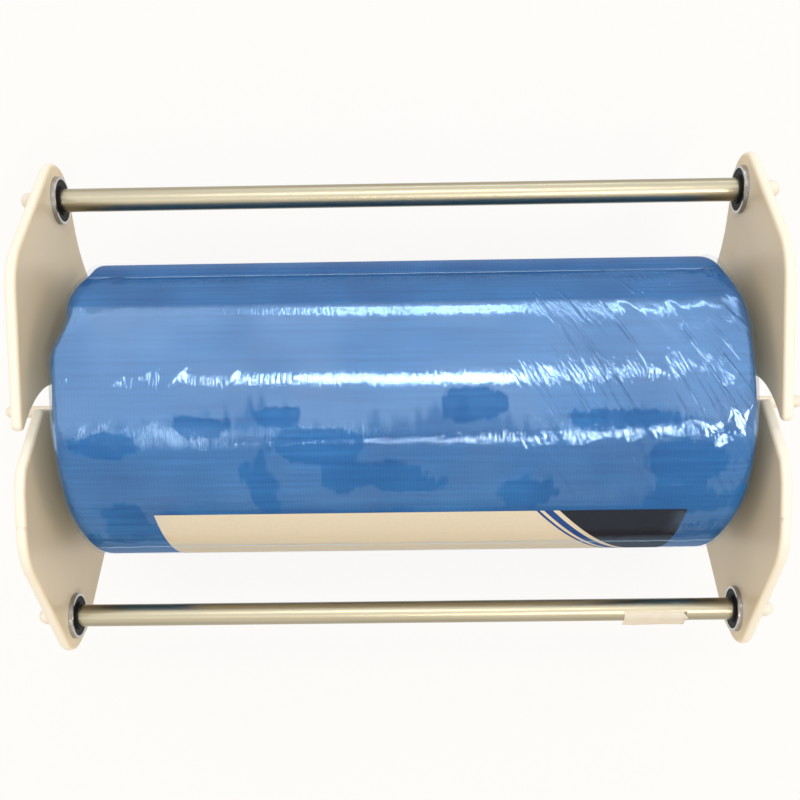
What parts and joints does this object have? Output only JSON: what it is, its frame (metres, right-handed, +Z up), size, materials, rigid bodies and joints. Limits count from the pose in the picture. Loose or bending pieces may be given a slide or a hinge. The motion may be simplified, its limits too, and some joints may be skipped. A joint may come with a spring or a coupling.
{
  "type": "bib roll dispenser",
  "caption": "Counter-top dispenser: white side plates carry steel guide rods in ball bearings and a film-wrapped blue bib roll on a lift-out spindle.",
  "frame": {"origin": "on the counter, midway between the side plates and midway between the guide rods", "axes": "+X along the rods to the right, +Y to the rear, +Z up; the front rod is at -Y"},
  "size_m": [0.402, 0.236, 0.155],
  "materials": {
    "white_plastic": "moulded gloss",
    "white_nylon": "turned satin",
    "rod_steel": "polished",
    "bearing_steel": "ground",
    "cage_steel": "pressed",
    "spring_steel": "blackened",
    "seal_rubber": "moulded",
    "core_cardboard": "spiral wound",
    "bib_paper": "embossed",
    "wrap_film": "shrink film",
    "label_paper": "coated",
    "tag_paper": "uncoated"
  },
  "bodies": {
    "frame": {"left_side_plate": "white_plastic", "right_side_plate": "white_plastic", "front_left_bearing_outer_ring": "bearing_steel", "front_left_bearing_seals": "seal_rubber", "front_right_bearing_outer_ring": "bearing_steel", "front_right_bearing_seals": "seal_rubber", "rear_left_bearing_outer_ring": "bearing_steel", "rear_left_bearing_seals": "seal_rubber", "rear_right_bearing_outer_ring": "bearing_steel", "rear_right_bearing_seals": "seal_rubber"},
    "front_rod": {"front_rod_tube": "rod_steel", "front_left_stub_axle": "white_nylon", "front_left_bearing_inner_ring": "bearing_steel", "front_left_retaining_ring": "spring_steel", "front_right_stub_axle": "white_nylon", "front_right_bearing_inner_ring": "bearing_steel", "front_right_retaining_ring": "spring_steel", "rod_tag": "tag_paper"},
    "front_ball_sets": {"front_left_bearing_balls": "bearing_steel", "front_left_bearing_cage": "cage_steel", "front_right_bearing_balls": "bearing_steel", "front_right_bearing_cage": "cage_steel"},
    "rear_rod": {"rear_rod_tube": "rod_steel", "rear_left_stub_axle": "white_nylon", "rear_left_bearing_inner_ring": "bearing_steel", "rear_left_retaining_ring": "spring_steel", "rear_right_stub_axle": "white_nylon", "rear_right_bearing_inner_ring": "bearing_steel", "rear_right_retaining_ring": "spring_steel"},
    "rear_ball_sets": {"rear_left_bearing_balls": "bearing_steel", "rear_left_bearing_cage": "cage_steel", "rear_right_bearing_balls": "bearing_steel", "rear_right_bearing_cage": "cage_steel"},
    "spindle": {"spindle_tube": "rod_steel", "spindle_left_pin": "white_nylon", "spindle_right_pin": "white_nylon"},
    "roll": {"left_core_hub": "white_nylon", "right_core_hub": "white_nylon", "roll_core": "core_cardboard", "bib_roll": "bib_paper", "shrink_film": "wrap_film", "roll_label": "label_paper"}
  },
  "joints": [
    {"name": "front_rod_spin", "type": "hinge", "parent": "frame", "child": "front_rod", "pos_m": [0, -0.101, 0.097], "axis": [1, 0, 0], "continuous": true},
    {"name": "front_ball_sets_spin", "type": "hinge", "parent": "frame", "child": "front_ball_sets", "pos_m": [0, -0.101, 0.097], "axis": [1, 0, 0], "continuous": true},
    {"name": "rear_rod_spin", "type": "hinge", "parent": "frame", "child": "rear_rod", "pos_m": [0, 0.101, 0.097], "axis": [1, 0, 0], "continuous": true},
    {"name": "rear_ball_sets_spin", "type": "hinge", "parent": "frame", "child": "rear_ball_sets", "pos_m": [0, 0.101, 0.097], "axis": [1, 0, 0], "continuous": true},
    {"name": "spindle_release", "type": "hinge", "parent": "frame", "child": "spindle", "pos_m": [0, -0.04102, 0.10792], "axis": [1, 0, 0], "range_deg": [0, 126.1]},
    {"name": "roll_spin", "type": "hinge", "parent": "spindle", "child": "roll", "pos_m": [0, 0, 0.078], "axis": [1, 0, 0], "continuous": true}
  ],
  "couplings": [
    {"joint": "front_ball_sets_spin", "follows": "front_rod_spin", "ratio": 0.3733},
    {"joint": "rear_ball_sets_spin", "follows": "rear_rod_spin", "ratio": 0.3733}
  ]
}
